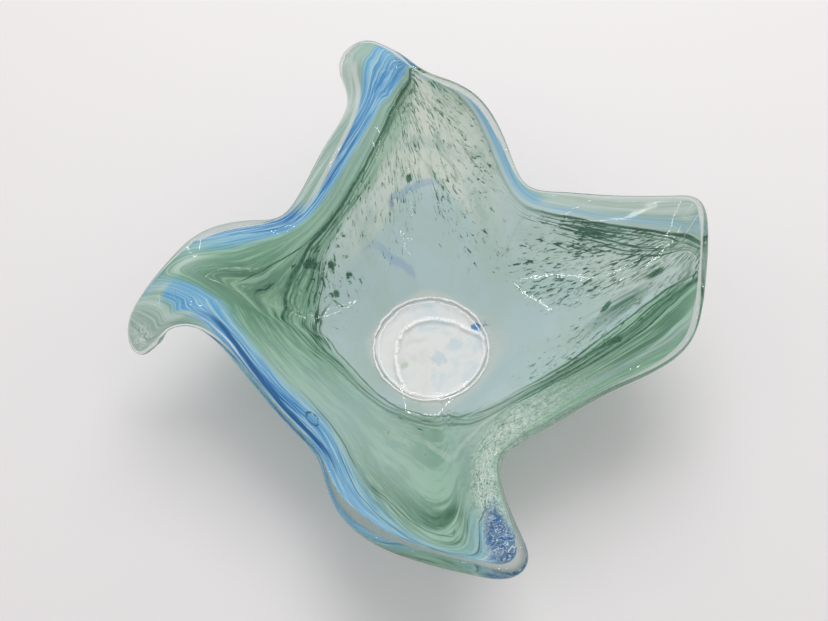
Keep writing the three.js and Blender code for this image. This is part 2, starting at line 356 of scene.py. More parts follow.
OUTERMOST = 6.5             # climb of the lip's outermost line
seat, seat_climbs = rows_at(np.concatenate([FLOOR_ROWS, between(0.05, EDGE, 50)]), CASING_TOP)
brim, brim_climbs = rows_at(between(EDGE + SEAM, OUTERMOST, 12), 0)
lip, lip_climbs = lip_rows(np.arange(105, 180, 15))
outer, outer_climbs = rows_at(np.concatenate([between(RIM, 0, 56), BACK_OVER_FLOOR]), WALL)
casing = closed_shell("bowl_casing", [(seat, seat_climbs, HIDDEN), (brim, brim_climbs, EXPOSED),
                                      (lip, lip_climbs, EXPOSED), (outer, outer_climbs, EXPOSED)],
                      poles=(FLOOR_HEIGHT - CASING_TOP, FLOOR_HEIGHT - WALL))


def corner(r, z, radius, angles):
    """Points of a rounded corner about (r, z)."""
    return [(r + radius * math.cos(a), z + radius * math.sin(a)) for a in np.radians(angles)]


HOLLOW = [(0, 1.6), (8, 1.45), (14, 1.0), (18, 0.45), (20, 0.1), (21, 0)]    # radius, height
GROUND_RADIUS = 30.6        # outer edge of the flat ring that the bowl stands on
FOOT_TURNS = 96


def foot_disc():
    """Foot: ground flat on a ring, with a polished hollow inside it."""
    low, high = 1.2, 1.6        # radii of the lower and upper corners
    top = FOOT_HEIGHT
    profile = [*HOLLOW, (GROUND_RADIUS, 0)]
    profile += corner(FOOT_RADIUS - low, low, low, (-75, -55, -35, -15, 0))
    profile += [(FOOT_RADIUS, top - high)]
    profile += corner(FOOT_RADIUS - high, top - high, high, (20, 40, 60, 80, 90))
    buried = len(profile)       # from here on the bowl covers the foot
    profile += [(24, top), (12, top), (0, top)]
    points, faces, slots, rounds = [], [], [], []
    turns = np.arange(FOOT_TURNS) * 2 * math.pi / FOOT_TURNS
    for r, z in profile:
        n = FOOT_TURNS if r else 1
        rounds.append([len(points) + k % n for k in range(FOOT_TURNS)])
        points += [(r * math.cos(a), r * math.sin(a), z) for a in turns[:n]]
    for j, (a, b) in enumerate(zip(rounds, rounds[1:])):
        for k in range(FOOT_TURNS):
            m = (k + 1) % FOOT_TURNS
            corners = dict.fromkeys((a[k], a[m], b[m], b[k]))       # only three at the middle
            faces.append(tuple(corners))
            slots.append(HIDDEN if j >= buried else EXPOSED)
    count = len(points)
    return mesh_object("bowl_foot", np.array(points, float), faces, slots, [-1] * count, [0] * count)


foot = foot_disc()

# ---- materials -------------------------------------------------------
def srgb(text):
    """Linear colour of a #rrggbb text."""
    c = [int(text[i:i + 2], 16) / 255 for i in (1, 3, 5)]
    return [x / 12.92 if x <= 0.04045 else ((x + 0.055) / 1.055) ** 2.4 for x in c] + [1]


class Nodes:
    """Short spellings for building a material's nodes."""

    def __init__(self, name):
        self.mat = bpy.data.materials.new(name)
        self.mat.use_nodes = True
        self.tree = self.mat.node_tree
        self.tree.nodes.clear()
        self.out = self.tree.nodes.new("ShaderNodeOutputMaterial")

    def put(self, socket, value):
        """Feeds an input: a socket, a number, a #rrggbb colour or an amount by its name, or nothing."""
        if isinstance(value, str):
            value = srgb(value) if value.startswith("#") else self.attr(value)
        if isinstance(value, bpy.types.NodeSocket):
            self.tree.links.new(value, socket)
        elif value is not None:
            socket.default_value = value

    def node(self, kind, inputs=None, **props):
        n = self.tree.nodes.new(kind)
        for k, v in props.items():
            setattr(n, k, v)
        for k, v in (inputs or {}).items():
            self.put(n.inputs[k], v)
        return n

    def attr(self, name, output="Fac"):
        return self.node("ShaderNodeAttribute", attribute_name=name).outputs[output]

    def math(self, op, a, b=None, clamp=False):
        return self.node("ShaderNodeMath", {0: a, 1: b}, operation=op, use_clamp=clamp).outputs[0]

    def plus(self, a, b):
        return self.math("ADD", a, b)

    def minus(self, a, b):
        return self.math("SUBTRACT", a, b)

    def times(self, product, *others):
        for part in others:
            product = self.math("MULTIPLY", product, part)
        return product

    def most(self, a, b):
        return self.math("MAXIMUM", a, b)

    def apart(self, a, b):
        """How far two values are from each other."""
        return self.math("ABSOLUTE", self.minus(a, b))

    def mix(self, fac, a, b):
        """Colour a going over into colour b."""
        n = self.tree.nodes.new("ShaderNodeMix")
        n.data_type = "RGBA"
        self.put(n.inputs[0], fac)
        self.put(n.inputs[6], a)
        self.put(n.inputs[7], b)
        return n.outputs[2]

    def band(self, x, low, high):
        """Eases from 0 at low to 1 at high."""
        n = self.node("ShaderNodeMapRange", {0: x, 1: low, 2: high}, interpolation_type="SMOOTHSTEP")
        return n.outputs[0]

    def noise(self, vector, scale, detail=2.0, rough=0.5, warp=0.0):
        n = self.node("ShaderNodeTexNoise", {"Vector": vector, "Scale": scale, "Detail": detail,
                                             "Roughness": rough, "Distortion": warp})
        return n.outputs["Fac"]

    def stretch(self, vector, by):
        """A vector with each part multiplied."""
        return self.node("ShaderNodeVectorMath", {0: vector, 1: by}, operation="MULTIPLY").outputs[0]

    def millimetres(self):
        """Place on the object in millimetres."""
        where = self.node("ShaderNodeTexCoord").outputs["Object"]
        return self.stretch(where, (1 / MM, 1 / MM, 1 / MM))

    def blend_shaders(self, share, first, second):
        return self.node("ShaderNodeMixShader", {0: share, 1: first, 2: second}).outputs[0]

    def clear_glass(self, tint, height, distance, roughness):
        """Glass with a rippled face that lets shadow and diffuse rays straight through."""
        ripple = self.node("ShaderNodeBump", {"Height": height, "Strength": 1.0, "Distance": distance})
        body = self.node("ShaderNodeBsdfGlass", {"Color": tint, "Roughness": roughness, "IOR": GLASS_INDEX,
                                                 "Normal": ripple.outputs[0]})
        path = self.node("ShaderNodeLightPath")
        straight = self.most(path.outputs["Is Shadow Ray"], path.outputs["Is Diffuse Ray"])
        clear = self.node("ShaderNodeBsdfTransparent", {"Color": tint})
        return self.blend_shaders(straight, body.outputs[0], clear.outputs[0])

    def finish(self, shader):
        self.tree.links.new(shader, self.out.inputs["Surface"])
        return self.mat


GLASS_INDEX = 1.5
CASING_TINT = (0.87, 0.9, 0.885, 1)
CASING_WAVES, CASING_WAVE_HEIGHT = 90, 0.01 * MM        # waves for each metre, and their height
LINING_TINT = (0.99, 1, 0.995, 1)


def casing_glass():
    """Thick clear glass with the slight wave of a blown surface."""
    m = Nodes("clear casing glass")
    wave = m.noise(m.node("ShaderNodeTexCoord").outputs["Object"], CASING_WAVES, 2)
    return m.finish(m.clear_glass(CASING_TINT, wave, CASING_WAVE_HEIGHT, 0.0))


def fused_face():
    """Where two gathers are fused, nothing shows."""
    m = Nodes("fused face of a gather")
    return m.finish(m.node("ShaderNodeBsdfTransparent", {"Color": (1, 1, 1, 1)}).outputs[0])


FINE_RIPPLE, BROAD_RIPPLE = 0.012, 0.05     # heights of the ripple in the inner face, millimetres
RIPPLED_FROM = (30, 40)     # the fine ripple sets in between these radii
# Painted reflections of the lamps in the well, drawn as thin white lines, in millimetres: a broad inner
# arc, which flares out at its two ends, and rings as radius, half width and how far they wander.
ARC_RADIUS, ARC_HALF_SWEEP, ARC_FLARE, ARC_WANDER = 17.0, 2.02, 10.0, 5.0
ARC_AXIS = (-0.616, 0.788)  # from the middle of the well to the middle of the arc
PAINTED_REFLECTION_RINGS = ((28.6, 0.5, 3.4), (26.2, 0.4, 4.4))


def inner_polish():
    """Fire-polished inner face with a faint ripple, and thin white lines round the well painted as
    reflections of the lamps.
    """
    m = Nodes("fire-polished inner face with painted reflections")
    where = m.millimetres()
    split = m.node("ShaderNodeSeparateXYZ", {0: where})
    x, y = split.outputs[0], split.outputs[1]
    r = m.math("SQRT", m.plus(m.times(x, x), m.times(y, y)))
    fine_ripple = m.times(m.noise(where, 1 / 1.6, 2), m.times(m.band(r, *RIPPLED_FROM), FINE_RIPPLE))
    ripple = m.plus(fine_ripple, m.times(m.noise(where, 1 / 9, 2), BROAD_RIPPLE))
    polished = m.clear_glass(LINING_TINT, ripple, MM, 0.02)

    wander = m.minus(m.noise(where, 1 / 5, 6, 0.78), 0.5)
    thin = m.noise(where, 1 / 2.5, 3, 0.6)
    # Bearing from the middle of the arc, 0 there and 1 at its two ends.
    across = m.plus(m.times(x, ARC_AXIS[0]), m.times(y, ARC_AXIS[1]))
    along = m.minus(m.times(x, -ARC_AXIS[1]), m.times(y, -ARC_AXIS[0]))
    sweep = m.times(m.math("ABSOLUTE", m.math("ARCTAN2", along, across)), 1 / ARC_HALF_SWEEP)
    spread = m.plus(ARC_RADIUS, m.times(m.math("POWER", sweep, 4.0), ARC_FLARE))
    arc = m.apart(m.plus(r, m.times(wander, ARC_WANDER)), spread)
    # Painted reflections: the arc and the rings as white lines where the lamps would mirror in the well.
    marks = m.times(m.band(sweep, 1.05, 0.95), m.band(arc, 1.5, 0.3), m.band(thin, 0.32, 0.48))
    for radius, half, swing in PAINTED_REFLECTION_RINGS:
        gap = m.apart(m.plus(r, m.times(wander, swing)), radius)
        marks = m.most(marks, m.times(m.band(gap, half, half * 0.4), m.band(thin, 0.3, 0.4)))
    # Painted reflection: near-white diffuse colour laid over the glass along those lines.
    painted_reflection = m.node("ShaderNodeBsdfPrincipled", {"Base Color": (0.95, 0.95, 0.95, 1), "Roughness": 0.2})
    return m.finish(m.blend_shaders(m.times(marks, 0.9), polished, painted_reflection.outputs[0]))


# Spots of colour in the window: place, size in millimetres, colour and strength.
WINDOW_SPOTS = (((23, 12.4), 3.0, "#4f97d2", 1.0), ((4, -5), 4.5, "#a9c6e6", 0.35),
                ((-13, -9), 2.5, "#b9cdb4", 0.5), ((12, 2), 5, "#cfe2ee", 0.6))


def milky_window():
    """Milk-white floor of the well with smears and a spot of blue in it."""
    m = Nodes("milky window")
    where = m.millimetres()
    cloud = m.noise(where, 1 / 14, 3, 0.6, 0.5)
    tone = m.mix(m.band(cloud, 0.3, 0.5), "#eae8e5", "#f6f5f4")
    tone = m.mix(m.times(m.band(cloud, 0.5, 0.7), 0.55), tone, "#d3e4ef")
    for (x, y), size, text, share in WINDOW_SPOTS:
        centre = (x, y, FLOOR_HEIGHT - COLOUR_DEPTH)
        off = m.node("ShaderNodeVectorMath", {0: where, 1: centre}, operation="DISTANCE").outputs["Value"]
        ragged = m.times(m.minus(m.noise(where, 1 / 2.5, 3, 0.6), 0.5), size * 2)
        spot = m.band(m.plus(off, ragged), size, size * 0.5)
        tone = m.mix(m.times(spot, share), tone, text)
    body = m.node("ShaderNodeBsdfPrincipled", {"Base Color": tone, "Roughness": 0.5})
    back = m.node("ShaderNodeBsdfTranslucent", {"Color": tone})
    clear = m.node("ShaderNodeBsdfTransparent", {"Color": (0.96, 0.97, 0.965, 1)})
    milk = m.blend_shaders(0.12, body.outputs[0], back.outputs[0])
    return m.finish(m.blend_shaders(0.95, clear.outputs[0], milk))


# ---- where the colour lies -------------------------------------------
# Lines that the pulled colour follows, as climb against travel, from the window to the rim.
PALE_LINE = [
    (0, 3.5), (1, 3.4), (2, 3.2), (3, 3.3), (3.4, 4), (3.7, 6), (3.9, 6.5), (4.05, 4.6), (4.3, 3.9),
    (5, 3.4), (6, 3.3), (7, 3.3), (9, 3.5), (9.7, 3.6), (10.3, 3.3), (11, 2.6), (12, 2.2), (13, 2),
    (14, 1.9), (15, 1.85), (17, 1.85), (18, 1.7), (19, 1.65), (21, 1.35), (22, 1.25), (24, 1.2),
    (26, 1.2), (27, 1.25), (28, 1.4), (29, 1.7), (29.5, 2.2), (30, 2.9), (30.4, 3.4), (31, 3.7),
    (32, 3.6), (33, 3.7), (33.6, 4.1), (34, 5.2), (34.2, 6.5), (34.4, 5.2), (34.6, 4.2), (35, 3.6),
    (36, 3.3), (37, 3.3), (38, 3.4)
]
DARK_LINE = [
    (0, 4.62), (0.5, 4.68), (1, 4.8), (2, 5.2), (2.5, 5.5), (3, 6), (3.5, 7.5), (3.8, 7.5), (4, 6),
    (4.1, 5), (4.35, 4.5), (4.65, 4.25), (5.1, 4.05), (5.6, 3.95), (6, 3.94), (7, 4.02), (8, 4.12),
    (9, 4.14), (10, 4.06), (10.5, 3.95), (11, 3.6), (12, 3.15), (13, 2.75), (14, 2.65), (15, 2.6),
    (16, 2.6), (17, 2.5), (18, 2.25), (20, 1.85), (21, 1.6), (22, 1.53), (24, 1.5), (26, 1.52),
    (27, 1.6), (28, 1.85), (28.6, 2.2), (29, 2.7), (29.5, 3.4), (30, 3.95), (30.5, 4.25), (31, 4.4),
    (32, 4.38), (33, 4.35), (33.5, 4.65), (33.9, 5.2), (34.1, 6), (34.25, 8), (34.45, 6.4), (34.6, 5.5),
    (34.8, 4.95), (35.1, 4.5), (35.5, 4.33), (36, 4.27), (37, 4.25), (38, 4.35), (38.5, 4.47)
]
BAND_LOW = [
    (0, 5.2), (1, 5.35), (2, 5.6), (3, 6.6), (3.5, 8), (3.9, 7.8), (4.08, 6), (4.15, 5.4), (4.4, 4.75),
    (4.8, 4.35), (5.3, 4.15), (6, 4.1), (6.7, 4.3), (8, 4.65), (9, 4.85), (10, 5), (11, 5.1), (12, 5.3),
    (12.5, 5.7), (12.9, 6.5), (13.2, 6.8), (13.4, 5.6), (13.7, 4.8), (14.1, 4.25), (14.6, 4.05),
    (15.2, 4), (16, 4.2), (17, 4.55), (18, 4.95), (18.6, 5), (19, 4.7), (19.5, 4.5), (20, 4.6),
    (21, 4.5), (22, 4.5), (22.5, 4.7), (23, 5.05), (23.5, 5.25), (24, 5.1), (24.6, 4.8), (25.3, 4.5),
    (26, 4.3), (26.6, 4.3), (27.1, 4.6), (28, 4.9), (30, 5.1), (31, 5.1), (32, 5), (33, 5.1),
    (33.6, 5.5), (33.9, 6.3), (34.2, 8.5), (34.55, 6.5), (34.75, 5.4), (35, 4.75), (36, 4.5), (37, 4.5),
    (38, 4.7)
]
BAND_HIGH = [
    (0, 5.9), (1, 6.3), (2, 6.6), (3, 8), (3.9, 8.5), (4.6, 6.3), (4.9, 5.5), (5.3, 5), (6, 4.8),
    (6.5, 4.85), (7, 5), (7.5, 5.2), (8, 5.45), (9, 6.1), (10, 6.5), (11, 6.1), (12, 6.1), (12.5, 6.8),
    (13.2, 8), (13.6, 6), (14, 5), (14.4, 4.65), (14.8, 4.5), (15.3, 4.7), (16, 5), (16.7, 5.4),
    (17.2, 5.9), (18, 6.4), (20, 6.2), (21, 5.8), (22, 5.8), (23, 6), (24, 5.9), (25, 5.7), (26, 5.6),
    (28, 6), (30, 6.2), (32, 6.2), (33, 6.5), (34.25, 9), (34.9, 6.2), (35.3, 5.2), (36, 4.95),
    (37, 4.95), (38, 5.3)
]
LINES = [ring([(0, WINDOW)])] + [ring(k, 0.11) for k in (PALE_LINE, DARK_LINE, BAND_LOW, BAND_HIGH)]
CREASE = LINES[2]

# Strengths round the bowl of each colour, against travel.
BLUE = ring([
    (0, 0.7), (1, 0.85), (2, 0.85), (3, 0.5), (3.6, 0.1), (4, 0.9), (5, 1), (10, 1), (12, 0.9),
    (12.6, 0.5), (13, 0.25), (13.4, 0.4), (13.8, 0.95), (15, 1), (20, 1), (22, 0.8), (23.5, 0.6),
    (24.5, 0.4), (26, 0.5), (27, 0.3), (27.6, 0.1), (30, 0), (34, 0), (35, 0.35), (36, 0.4), (37, 0.5),
    (38, 0.65)
])
DEEP = ring([
    (0, 0), (3.8, 0), (4.2, 0.3), (5, 0.5), (6, 0.5), (8, 0.8), (9.5, 1.5), (10.5, 1.5), (11.5, 0.5),
    (12.5, 0.2), (14, 0.2), (16, 0.3), (17, 0.8), (18, 1), (19, 1), (19.7, 0.6), (21, 0.3), (23, 0.2),
    (25.2, 0.4), (26, 0.6), (26.8, 0.3), (28, 0), (38, 0)
])
INNER_GREEN = ring([
    (0, 0.1), (2, 0.1), (3, 0.3), (3.8, 0.4), (4.3, 0.6), (5, 0.6), (8, 0.65), (10, 0.8), (11, 0.95),
    (13, 1), (17, 0.9), (19, 0.5), (20, 0.4), (22, 0.5), (24, 0.8), (26, 0.6), (28, 0.5), (29.5, 0.5),
    (31, 0.9), (34, 0.95), (34.5, 0.6), (35, 0.3), (37, 0.15), (38, 0)
])
RIM_GREEN = ring([
    (0, 0.5), (2, 0.6), (3, 0.8), (4, 0.7), (5, 0.5), (7, 0.5), (8, 0.6), (9, 0.2), (12, 0.3),
    (13, 0.8), (13.4, 0.6), (14, 0.7), (16.5, 0.7), (17.5, 0.2), (20, 0.1), (23, 0.2), (25, 0.3),
    (27, 0.6), (28, 0.8), (30, 0.9), (34, 0.95), (34.6, 0.6), (36, 0.4), (37.5, 0.45), (38.4, 0.5)
])
CORE = ring([
    (0, 0.25), (1, 0.35), (2, 0.4), (3, 0.4), (4, 0.9), (5, 1), (10, 1), (13, 0.7), (17, 0.5),
    (18, 0.4), (20, 0.5), (22, 0.5), (25, 0.45), (27, 0.45), (28.5, 0.6), (29.2, 0.6), (30, 0.8),
    (31, 0.9), (33, 0.8), (34, 0.9), (34.3, 0.6), (34.6, 0.9), (35, 1), (37, 1), (38, 0.9), (38.6, 0.5)
])
FAMILY = ring([
    (0, 0.35), (2, 0.4), (3, 0.6), (4, 0.6), (5, 0.5), (9.5, 0.5), (10.3, 0.7), (11, 0.75), (16, 1),
    (17.5, 0.85), (18.5, 0.55), (20, 0.55), (22, 0.6), (25, 0.6), (27, 0.55), (29, 0.45), (30, 0.7),
    (31, 1), (32, 0.95), (33, 0.85), (34, 0.7), (34.5, 0.8), (35, 1), (37, 1), (38.4, 0.8)
])
FLECKS = ring([
    (0, 0.5), (1, 0.7), (3, 0.9), (5, 0.9), (9, 0.7), (10.5, 0.9), (12, 0.6), (15, 0.4), (18, 0.4),
    (20, 0.3), (24, 0.2), (28, 0.2), (29.5, 0.4), (31, 0.8), (33, 0.85), (35, 1), (37, 1), (38.5, 0.8)
])
WARM = ring([
    (0, 0.2), (1, 0.6), (2, 0.9), (4, 1), (8, 0.9), (9.5, 0.5), (10.5, 0.1), (12, 0), (33, 0),
    (34.4, 0.4), (35.5, 0.4), (37, 0.2)
])

# Single threads of colour drawn through the wall: (travel, climb) along each.
THREADS = {
    "second_dark": [(30.1, 3.2), (30.5, 3.7), (31, 3.9), (32, 3.75), (33, 3.9), (33.6, 4.2), (34.1, 5.2)],
    "branch_dark": [(9.6, 4.14), (11, 4.05), (12, 3.9), (12.8, 3.75)],
    "third_dark": [(29.2, 2.4), (30, 3.5), (30.6, 4.05), (31.5, 4.15), (33, 4.1), (33.7, 4.6)],
    "fourth_dark": [(29.6, 3.7), (30.2, 4.3), (31, 4.62), (32, 4.6), (33, 4.6), (33.6, 4.9)],
    "edge_dark": [(20, 4.5), (21.7, 4.45), (22.4, 4.6), (23, 5.1), (23.5, 5.25), (24.6, 4.8), (25.3, 4.5),
        (26.5, 4.3), (27.2, 4.8)],
    "low_dark": [(19, 4.1), (20, 4), (22, 3.65), (23.2, 3.95), (24.4, 3.9)],
    "ring_dark": [(11.5, 2.4), (13, 2.1), (15, 1.95), (17, 1.9), (19, 1.65), (22, 1.3), (26, 1.3),
        (28, 1.5), (29.4, 2.4)],
    "low_white": [(23, 1.9), (25, 2.15), (27, 2.45), (28, 2.7), (29, 3.2), (30, 3.8), (31, 4.2)],
    "core_blue": [(16.5, 4.8), (16.8, 4.95), (17.4, 5.4), (18, 5.75), (18.8, 5.85), (19.6, 5.8),
        (20.3, 5.5)],
    "core_pale": [(15.9, 5), (16.6, 5.3), (17.2, 5.75), (18, 6)],
    "arc_blue": [(3, 2.9), (5, 2.7), (7, 2.8), (8.2, 3.05)],
    "fall_blue": [(7, 1.5), (8, 1.7), (8.8, 2.1), (9.3, 2.8)],
}

# Soft round patches: travel, climb, half width, half height and strength of each.
PATCHES = {
    "shade": [(15, 3.1, 2.4, 0.9, 0.45), (24.7, 3.7, 1.2, 0.5, 2.0), (22.2, 3.8, 1.3, 0.6, 0.8),
              (32.3, 4.9, 2.0, 0.8, 0.9), (12.3, 4.0, 1.2, 0.5, 0.6), (33.4, 3.3, 1.0, 0.4, 1.0)],
    "crackle": [(28.8, 5.0, 1.5, 1.2, 1.3), (27.6, 4.9, 0.8, 0.8, 0.9)],
    "glint": [(14.9, 5.75, 0.5, 0.22, 1), (5.9, 5.8, 0.35, 0.1, 0.8)],
    "smudge": [(34.35, 3.7, 0.3, 0.35, 1), (33.7, 2.95, 0.6, 0.13, 1), (31.9, 4.3, 0.35, 0.3, 1),
               (5.3, 2.85, 0.8, 0.12, 1), (7.9, 3.85, 0.4, 0.1, 0.8), (10.9, 1.0, 0.3, 0.12, 0.8),
               (10.9, 2.5, 0.25, 0.2, 1), (24.6, 3.8, 0.7, 0.35, 0.7), (10.8, 3.5, 0.5, 0.4, 0.9)],
    "spot": [(26.3, 5.2, 0.8, 0.5, 1.3), (25.6, 5.6, 0.8, 0.5, 0.9), (36.7, 0.9, 0.5, 0.12, 0.8),
             (8.1, 2.95, 0.25, 0.1, 0.4)],
}


def bump(x, low, high, soft):
    """1 between low and high, easing to 0 over a width of soft on either side."""
    a = np.clip((x - low + soft) / soft, 0, 1)
    b = np.clip((high + soft - x) / soft, 0, 1)
    return (a * a * (3 - 2 * a)) * (b * b * (3 - 2 * b))


def blot(t, v, at, climb, wide, tall):
    """A soft round patch."""
    dt = np.mod(t - at + COUNT / 2, COUNT) - COUNT / 2
    return np.exp(-((dt / wide) ** 2 + ((v - climb) / tall) ** 2))


def flow_at(t, v):
    """0 at the window's edge and 1 to 4 at the lines above it, even between them and past the last."""
    lines = np.stack([line(t) for line in LINES])
    lines = np.concatenate([lines, lines[-1:] + 1.2])
    lines = np.maximum.accumulate(lines + np.arange(len(lines))[:, None] * 0.02, axis=0)
    flow = np.zeros_like(v)
    for k, (low, high) in enumerate(zip(lines, lines[1:])):
        share = (v - low) / np.maximum(high - low, 0.05)
        flow = np.where((v > low) | (k == 0), k + share, flow)
    return flow


# Travel against millimetres along the bend of the wall, once round the bowl.
BEND = 4.0                  # climb of the bend
RING_AT = np.arange(COUNT * 8 + 1) / 8
STEPS = np.linalg.norm(np.diff(face(RING_AT, [BEND])[0], axis=0), axis=1)
RUN = np.concatenate([[0], np.cumsum(STEPS)])


def along_the_pull(t, flow):
    """The run round the bowl rolled into a circle, so that it closes without a seam, and the flow."""
    radius = RUN[-1] / (2 * math.pi)
    angle = np.interp(np.mod(t, COUNT), RING_AT, RUN) / radius
    return np.stack([radius * np.cos(angle), radius * np.sin(angle), flow], -1)


# Points in plan, in millimetres, that the chips of colour in lobes A and D point at.
A_POINT, D_POINT = np.array([-24.0, 134.0]), np.array([133.0, 33.0])
RAY_WIDTH = 70.0            # millimetres across for each radian
OTHER_NOISE = 9.0           # keeps the two fans from showing the same chips


def rays_from_tips(t, plan):
    """Place across and along the rays from the point in the lobe's own half of the bowl."""
    near_d = (t > 20) & (t < 38.6)
    away = plan - np.where(near_d[:, None], D_POINT, A_POINT)
    turn = np.arctan2(away[:, 1], away[:, 0])
    turn = np.where(near_d, np.mod(turn, 2 * math.pi), turn)
    return np.stack([turn * RAY_WIDTH, np.hypot(away[:, 0], away[:, 1]), near_d * OTHER_NOISE], -1)


def thread_places(t, v):
    """For each thread, millimetres across the face from it, and its strength."""
    h = 0.02
    per_travel = np.linalg.norm(face(t + h, v[None]) - face(t - h, v[None]), axis=-1)[0] / (2 * h)
    per_climb = np.linalg.norm(face(t, v[None] + h) - face(t, v[None] - h), axis=-1)[0] / (2 * h)

    def off(line):
        """Millimetres across the face from a line, and 1 close to it."""
        climb, slope = line(t), (line(t + h) - line(t - h)) / (2 * h)
        lean = np.sqrt(1 + (slope * per_climb / np.maximum(per_travel, 1)) ** 2)
        return (v - climb) * per_climb / lean, bump(v - climb, -0.7, 0.7, 0.4)

    across, near = off(CREASE)
    places = {"crease": (across, CORE(t) * near)}
    for key, knots in THREADS.items():
        ends = bump(t, knots[0][0] + 0.5, knots[-1][0] - 0.5, 1.0)
        across, near = off(ring(knots, 0.1))
        places[key] = (across, ends * near)
    return places


def amounts_at(t, v, flow):
    """How much of each colour or mark lies at each travel, climb and flow."""
    in_a = bump(t, -0.2, 9.2, 0.9) + bump(t, 38.8, 40, 0.9)
    in_d = bump(t, 30.8, 37.8, 0.9)
    amounts = {
        "blue": BLUE(t) * bump(flow, 3.0, 4.0, 0.3),
        "deep": DEEP(t) * bump(flow, 3.25, 3.75, 0.4),
        "green": np.maximum(INNER_GREEN(t) * bump(flow, 1.5, 3.0, 0.5),
                            RIM_GREEN(t) * bump(flow, 3.6, 9, 0.5)),
        "core": CORE(t) * bump(v - CREASE(t), -0.12, 0.04, 0.12),
        "strip": bump(t, 6.3, 9.4, 0.5) * bump(v, 5.36, 5.5, 0.09)
        + 0.4 * bump(t, 35.4, 38.2, 0.4) * bump(v, 5.25, 7, 0.2),
        "nose": bump(t, 6.2, 9.6, 0.5) * bump(v, 5.5, 7, 0.1)
        + bump(t, 13.9, 16.0, 0.4) * bump(v, 5.1, 7, 0.25)
        + 0.8 * bump(t, 35.2, 38.2, 0.4) * bump(v, 5.0, 7, 0.15)
        + 0.9 * blot(t, v, 13.0, 5.4, 0.5, 0.5) + 0.6 * blot(t, v, 5.9, 5.6, 0.5, 0.4),
        # 0 in the middle of the trapped bubble, about 1 on its outline, which is drawn as a painted dark
        # shade.
        "bubble": np.minimum(2, np.hypot((t - 19.35) / 0.16, (v - 4.8) / 0.4)),
        "family": FAMILY(t) * bump(flow, 1.15, 2.0, 0.35),
        "fleck": FLECKS(t) * bump(flow, 0.75, 1.95, 0.6),
        "ray": np.maximum(in_a, in_d) * bump(flow, 0.3, 1.9, 0.5),
        "warm": WARM(t) * bump(v, 3.0, 5.6, 0.35) * bump(flow, 0, 1.9, 0.2),
        "pale": np.maximum(bump(v, 0, 0.92, 0.25), 0.9 * blot(t, v, 30, 1.0, 7, 0.35)),
    }
    for key, patches in PATCHES.items():
        amounts[key] = np.minimum(1, sum(share * blot(t, v, *place) for *place, share in patches))
    return amounts


def paint(obj):
    """Writes the flow, the rays, the threads and the amount of each colour on a piece's points."""
    mesh = obj.data

    def read(source, key, width):
        values = np.zeros(len(mesh.vertices) * width, np.float32)
        source.foreach_get(key, values)
        return values.astype(float)

    t = read(mesh.attributes["travel"].data, "value", 1)
    v = read(mesh.attributes["climb"].data, "value", 1)
    plan = read(mesh.vertices, "co", 3).reshape(-1, 3)[:, :2] / MM
    flow = flow_at(t, v)
    vectors = {"flow": along_the_pull(t, flow), "rays": rays_from_tips(t, plan)}
    for key, (across, strength) in thread_places(t, v).items():
        vectors[key] = np.stack([across, strength, 0 * across], -1)
    for key, value in vectors.items():
        layer = mesh.attributes.new(key, "FLOAT_VECTOR", "POINT")
        layer.data.foreach_set("vector", value.astype(np.float32).ravel())
    for key, value in amounts_at(t, v, flow).items():
        mesh.attributes.new(key, "FLOAT", "POINT").data.foreach_set("value", value.astype(np.float32))


# ---- coloured glass --------------------------------------------------
class Frit(Nodes):
    """Noises, masks and coats of colour for milky glass with frit pulled along the flow."""

    def __init__(self, name):
        super().__init__(name)
        self.flow, self.rays = self.attr("flow", "Vector"), self.attr("rays", "Vector")
        self.where = self.millimetres()
        long = self.pulled(60, 5, 5, 0.62, 0.15)
        self.mid = self.pulled(28, 15, 3, 0.6, 0.2)
        self.hair = self.pulled(18, 34, 2, 0.6)
        self.cloud = self.noise(self.where, 1 / 26, 4, 0.6, 0.6)
        self.grain = self.noise(self.where, 1 / 1.5, 3, 0.65)
        self.worm = self.noise(self.where, 1 / 4.4, 3, 0.6, 1.4)
        self.streak = self.blend((long, 0.42), (self.mid, 0.34), (self.hair, 0.24))
        self.fine = self.blend((long, 0.2), (self.mid, 0.42), (self.hair, 0.38))
        self.patch = self.blend((self.cloud, 0.5), (self.grain, 0.5))

    def pulled(self, length, layers, detail, rough, warp=0.0):
        """Noise drawn out to a length round the bowl, in so many layers for each step of flow."""
        drawn = self.stretch(self.flow, (1 / length, 1 / length, layers))
        return self.noise(drawn, 1.0, detail, rough, warp)

    def fanned(self, wide, long, detail, rough, warp):
        """Noise in grains of a width and length along the rays."""
        drawn = self.stretch(self.rays, (1 / wide, 1 / long, 1))
        return self.noise(drawn, 1.0, detail, rough, warp)

    def blend(self, *parts):
        """Weighted sum of (value, weight) pairs."""
        total = 0.0
        for value, weight in parts:
            total = self.plus(total, self.times(value, weight))
        return total

    def over(self, x, threshold, edge=0.04):
        """1 where x passes a threshold that may itself vary."""
        return self.band(x, threshold, self.plus(threshold, edge))

    def less(self, start, share, amount):
        """A threshold that falls as the amount of a colour rises."""
        return self.minus(start, self.times(amount, share))

    def swing(self, noise, share):
        """A noise about 0."""
        return self.times(self.minus(noise, 0.5), share)

    def thread(self, name, half, break_at=0.36, shift=0.0, wave=1.6):
        """Mask of one drawn thread, wavering a little and broken here and there."""
        split = self.node("ShaderNodeSeparateXYZ", {0: self.attr(name, "Vector")})
        waver = self.swing(self.pulled(9, 1, 2, 0.5), wave)
        off = self.math("ABSOLUTE", self.plus(self.plus(split.outputs[0], shift), waver))
        unbroken = self.band(self.mid, break_at, break_at + 0.1)
        return self.times(self.band(off, half, half * 0.4), split.outputs[1], unbroken)

    def coats(self, tone, *layers):
        """A tone under coats of (share, colour), the last on top."""
        for share, colour in layers:
            tone = self.mix(share, tone, colour)
        return tone


